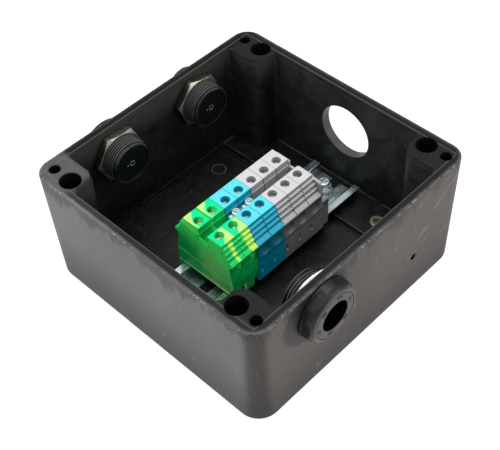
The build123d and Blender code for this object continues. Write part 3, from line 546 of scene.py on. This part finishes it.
def green_yellow_look():
    """Green polyamide with yellow flowed into it, in patches repeated on each terminal."""
    look = Look("green_yellow_polyamide_marbled")
    x, y, z = look.xyz
    _, face_y, face_z = look.facing
    wander = look.noise(0.35, detail=2.0, rough=0.45, bend=0.4, shift=(2.0, 0.0, 0.0)) - 0.5
    drift = look.noise(0.22, detail=2.0, rough=0.45, bend=0.6, shift=(8.0, 4.0, 1.0)) - 0.5
    # along is the place in Y within one terminal, across the place in X, both wavering
    turns = calc("FRACT", (y + 37.5) / TERMINAL_PITCH)
    along = turns * TERMINAL_PITCH + -4.9 + wander * 2.2
    across = x + drift * 2.0
    up = step(face_z, 0.6, 0.85) * step(z, 51.0, 51.8)
    front = step(face_y, -0.4, -0.8)
    minus_x = step(x, 1.0, 0.0)

    # -X heads: yellow at the outer corner and along the -Y side
    edge_minus = highest(-2.6, scaled(across + 14.7, -0.85, 1.8))
    yellow_minus = step(along - edge_minus, 0.7, -0.7) * step(across, -3.4, -7.0)
    # +X heads: yellow on the +Y side of the hole and outside it
    edge_plus = scaled(highest(0.0, across + -9.6), -0.95, 2.3)
    yellow_plus = step(along - edge_plus, -0.6, 0.6) * step(across, 4.6, 6.4)
    yellow = up * blend(minus_x, yellow_plus, yellow_minus)
    # the ribs and the shoulders below them
    rib = step(abs(x), 14.6, 15.0) * step(z, 40.4, 41.0) * inverse(up) * inverse(front)
    rib_start = -0.7 + (50.0 - z) * 0.16 + drift * 3.0
    rib_end = blend(step(y, -28.0, -27.2), 2.3, 6.5) + wander * 2.0
    yellow = highest(yellow, rib * step(along - rib_start, -0.5, 0.5)
                     * step(along - rib_end, 0.4, -0.4) * blend(minus_x, 1.0, 0.7))

    clouds = look.noise(0.085, bend=0.9, shift=(3.0, 3.0, 9.0))
    green = mix(step(clouds, 0.38, 0.62), (0.002, 0.34, 0.060), (0.006, 0.50, 0.110))
    green = mix(up, green, (0.000, 0.62, 0.24))
    green = paint(green, rib, cover=0.7, colour=(0.010, 0.64, 0.13))
    green = mix(front, green, terminal_front(look, wander, drift))
    colour = mix(yellow, green, mix(up, (0.50, 0.84, 0.13), (0.42, 0.77, 0.20)))
    pale = up * minus_x * step(across, -8.5, -5.0) * step(along, -1.0, -3.5)
    colour = paint(colour, pale, cover=0.7, colour=(0.14, 0.78, 0.17))
    speck = look.noise(1.6, rough=0.6)
    colour = shade(colour, swing(speck, 0.08) + wander * 0.10 + 1.0)
    rub = look.scratches(0.4, width=0.02, stretch=(0.5, 1.0, 1.0), shift=(1.0, 7.0, 3.0),
                         bend=0.8, cover=0.55)
    colour = paint(colour, rub, cover=0.18, colour=(0.55, 0.9, 0.5))
    normal = look.surface(0.2, (drift, 0.05), (speck, 0.02),
                          (look.noise(6.0, detail=2.0, rough=0.5), 0.01))
    # painted light: the sides that don't face up glow a little, most on the -Y wall
    return look.set(Base_Color=colour, Roughness=wander * 0.2 + speck * 0.1 + 0.30,
                    Normal=normal, IOR=1.5, Specular_IOR_Level=0.12, Emission_Color=colour,
                    Emission_Strength=inverse(up) * blend(front, 0.10, 0.24))


def rubber_look():
    look = Look("seal_rubber_matt")
    cloud = look.noise(0.3, detail=4.0, rough=0.6)
    speck = look.noise(3.0, rough=0.6)
    colour = shade((0.012, 0.012, 0.012), cloud * 0.6 + speck * 0.5 + 0.5)
    return look.set(Base_Color=colour, Roughness=cloud * 0.2 + 0.62,
                    Normal=look.surface(0.15, (speck, 0.03)))


# ---------------------------------------------------------------- metal pieces
EVEN = (1.0, 1.0, 1.0)  # no brushing direction


def metal(name, colour, rough, brushed, stain, stain_amount):
    """Plated metal: brushed along one way, softly blotchy, lightly tarnished."""
    look = Look(name)
    lines = look.noise(1.1, detail=2.0, rough=0.5, bend=0.1, stretch=brushed)
    blotch = look.noise(0.07, rough=0.5, bend=0.5, shift=(6.0, 2.0, 4.0))
    speck = look.noise(0.9, detail=2.0, rough=0.5)
    tarnish = step(blotch, 0.45, 0.70)
    base = shade(colour, mottle((lines, 0.10), (speck, 0.06)))
    base = paint(base, tarnish, cover=stain_amount, colour=stain)
    roughness = swing(lines, 0.10) + tarnish * 0.10 + swing(speck, 0.05) + rough
    return look.set(Base_Color=base, Metallic=1.0, Roughness=roughness,
                    Normal=look.surface(0.15, (lines, 0.0006), (blotch, 0.004)))


def nut_look():
    """Nickel-plated locknut: painted shade on the flanks, and a painted highlight on the face
    and the chamfer.
    """
    look = Look("nickel_brass_plated")
    lines = look.noise(1.1, detail=2.0, rough=0.5, bend=0.1, stretch=(0.15, 1.0, 1.0))
    blotch = look.noise(0.12, bend=0.5, shift=(6.0, 2.0, 4.0))
    speck = look.noise(1.4, rough=0.6)
    # painted highlight on the faces towards X, painted shade on the flanks
    bright = step(abs(look.facing[0]), 0.15, 0.55)
    base = mix(bright, (0.085, 0.080, 0.066), (0.50, 0.48, 0.41))
    base = shade(base, mottle((lines, 0.5), (speck, 0.4), (blotch, 0.9)))
    base = paint(base, step(blotch, 0.52, 0.66), cover=0.5, colour=(0.14, 0.13, 0.10))
    return look.set(Base_Color=base, Metallic=1.0,
                    Roughness=swing(lines, 0.2) + blotch * 0.2 + 0.28,
                    Normal=look.surface(0.2, (blotch, 0.01)))


# ---------------------------------------------------------------- materials on the pieces
looks = {
    "box_grp": box_look(),
    "black_polyamide": fitting_look(),
    "green_yellow_polyamide": green_yellow_look(),
    "blue_polyamide": moulded(
        "blue_polyamide_satin", top=(0.085, 0.58, 0.64), side=(0.002, 0.29, 0.45), rough=0.42,
        vary=0.10, wear=(0.30, 0.75, 0.80), wear_amount=0.20, gleam=0.14, through=0.07),
    "grey_polyamide": moulded(
        "grey_polyamide_satin", top=(0.49, 0.495, 0.505), side=(0.36, 0.365, 0.375), rough=0.42,
        vary=0.10, wear=(0.75, 0.75, 0.75), wear_amount=0.25),
    "dark_polyamide": moulded(
        "dark_polyamide_satin", top=(0.40, 0.40, 0.405), side=(0.36, 0.36, 0.37), rough=0.45,
        vary=0.2, wear=(0.44, 0.44, 0.44), wear_amount=0.3),
    "zinc_steel": metal(
        "zinc_steel_bright", (0.68, 0.80, 0.81), rough=0.22, brushed=(1.0, 0.06, 1.0),
        stain=(0.50, 0.58, 0.58), stain_amount=0.35),
    "screw_steel": metal(
        "screw_steel_dull", (0.60, 0.60, 0.60), rough=0.30, brushed=EVEN,
        stain=(0.34, 0.33, 0.31), stain_amount=0.4),
    "tinned_copper": metal(
        "tinned_copper_matt", (0.66, 0.63, 0.58), rough=0.38, brushed=(1.0, 0.1, 1.0),
        stain=(0.42, 0.34, 0.26), stain_amount=0.4),
    "nickel_brass": nut_look(),
    "brass": metal(
        "brass_turned", (0.70, 0.52, 0.20), rough=0.28, brushed=EVEN,
        stain=(0.36, 0.24, 0.08), stain_amount=0.5),
    "seal_rubber": rubber_look(),
}
# pieces that don't take the look of their slot
own_looks = {
    "bushing_locknut": metal(
        "nickel_brass_bright", (0.82, 0.81, 0.78), rough=0.30, brushed=(1.0, 0.15, 1.0),
        stain=(0.55, 0.53, 0.48), stain_amount=0.25),
    "earth_insert": metal(
        "brass_pale", (0.40, 0.37, 0.27), rough=0.34, brushed=EVEN,
        stain=(0.17, 0.15, 0.10), stain_amount=0.5),
    "rail_screws": metal(
        "zinc_steel_heads", (0.62, 0.68, 0.69), rough=0.38, brushed=EVEN,
        stain=(0.55, 0.58, 0.58), stain_amount=0.25),
}
slots = {part["node"]: part.get("material") or part.get("material_slot")
         for part in frame["record"]["subparts"]}
for node_name, piece in frame["nodes"].items():
    piece.data.materials.clear()
    piece.data.materials.append(own_looks.get(node_name) or looks[slots[node_name]])


# ---------------------------------------------------------------- floor, light, camera
def floor_look():
    """Pale floor that glows a little, so that it stays nearly white."""
    look = Look("studio_floor_pale")
    cloud = look.noise(0.004, rough=0.5)
    speck = look.noise(0.9, rough=0.6)
    colour = shade((0.93, 0.93, 0.93), mottle((cloud, 0.02), (speck, 0.01)))
    return look.set(Base_Color=shade(colour, 0.30), Roughness=0.75, Specular_IOR_Level=0.1,
                    Emission_Color=colour, Emission_Strength=0.92)


def add_floor():
    material = floor_look()
    mesh = bpy.data.meshes.new("studio_floor")
    grid = bmesh.new()
    bmesh.ops.create_grid(grid, x_segments=8, y_segments=8, size=4.0)
    grid.to_mesh(mesh)
    grid.free()
    floor = bpy.data.objects.new("studio_floor", mesh)
    scene.collection.objects.link(floor)
    floor.location.z = -0.0002  # just under the box
    mesh.materials.append(material)


def add_world(strength):
    world = bpy.data.worlds.new("studio_world")
    scene.world = world
    world.use_nodes = True
    tree = world.node_tree
    tree.nodes.clear()
    output = tree.nodes.new("ShaderNodeOutputWorld")
    background = tree.nodes.new("ShaderNodeBackground")
    background.inputs[0].default_value = (1.0, 1.0, 1.0, 1.0)
    background.inputs[1].default_value = strength
    tree.links.new(background.outputs[0], output.inputs[0])


def add_lamp(name, place, aim, size, power):
    data = bpy.data.lights.new(name, "AREA")
    data.shape = "RECTANGLE"
    data.size, data.size_y = size
    data.energy = power
    data.color = (1.0, 1.0, 1.0)
    lamp = bpy.data.objects.new(name, data)
    scene.collection.objects.link(lamp)
    lamp.location = place
    lamp.rotation_mode = "QUATERNION"
    lamp.rotation_quaternion = (Vector(aim) - Vector(place)).to_track_quat("-Z", "Y")


def add_camera():
    data = bpy.data.cameras.new("camera")
    camera = bpy.data.objects.new("camera", data)
    scene.collection.objects.link(camera)
    right = Vector((0.7242608235029702, 0.6887095970442224, -0.033546243872967674))
    down = Vector((0.4967521071719375, -0.5548991614077134, -0.667326205606566))
    ahead = Vector((-0.47820874475383623, 0.4666540598861234, -0.7440096671635115))
    place = Vector((0.27983351203640744, -0.2660887546967325, 0.45801429249251346))
    turn = Matrix((right, -down, -ahead)).transposed().to_4x4()
    camera.matrix_world = Matrix.Translation(place) @ turn
    data.sensor_width = 36.0
    data.lens = 75.9250469544907
    data.shift_x = -0.0251155477412538
    data.shift_y = -0.00436725267363584
    data.clip_start, data.clip_end = 0.01, 20.0
    scene.camera = camera


# name, place, aim, size in metres, power in watts
LAMPS = (
    ("lamp_overhead", (-0.10, 0.12, 1.05), (0.0, 0.0, 0.04), (0.9, 0.9), 10.0),
    ("lamp_left", (-0.75, -0.95, 0.50), (0.0, 0.0, 0.05), (0.9, 0.7), 8.0),
    ("lamp_right", (1.05, 0.55, 0.50), (0.0, 0.0, 0.05), (0.9, 0.7), 6.0),
)

add_floor()
add_world(strength=0.55)
for lamp_row in LAMPS:
    add_lamp(*lamp_row)
add_camera()
scene.view_settings.view_transform = "Standard"
scene.view_settings.look = "None"
